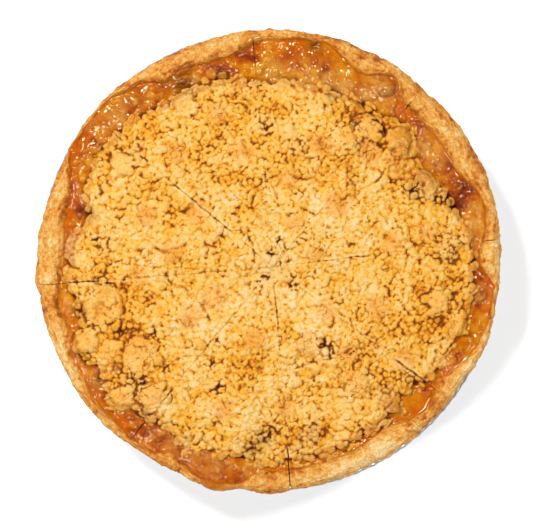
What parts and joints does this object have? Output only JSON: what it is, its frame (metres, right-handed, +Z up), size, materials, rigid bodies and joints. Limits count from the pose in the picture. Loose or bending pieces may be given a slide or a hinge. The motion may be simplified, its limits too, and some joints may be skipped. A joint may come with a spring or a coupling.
{
  "type": "crumb-topped apple pie in foil tin",
  "caption": "Round apple pie with a baked crumb topping and an irregular pastry rim, cut into wedges that keep the whole's shape, in a shallow foil tin.",
  "frame": {"origin": "centre of the tin's underside, on the table", "axes": "+Z up through the pie; +X to the right and +Y to the top of the picture, which looks straight down"},
  "size_m": [0.2516, 0.2522, 0.0505],
  "materials": {
    "foil": "bright thin foil",
    "pastry": null,
    "filling": null,
    "crumb": null
  },
  "bodies": {
    "root": {"foil_tin": "foil", "crust_1": "pastry", "crust_2": "pastry", "crust_3": "pastry", "crust_4": "pastry", "crust_5": "pastry", "crust_6": "pastry", "crust_7": "pastry", "crust_8": "pastry", "filling_1": "filling", "filling_2": "filling", "filling_3": "filling", "filling_4": "filling", "filling_5": "filling", "filling_6": "filling", "filling_7": "filling", "filling_8": "filling", "topping_1": "crumb", "topping_2": "crumb", "topping_3": "crumb", "topping_4": "crumb", "topping_5": "crumb", "topping_6": "crumb", "topping_7": "crumb", "topping_8": "crumb"}
  },
  "joints": []
}
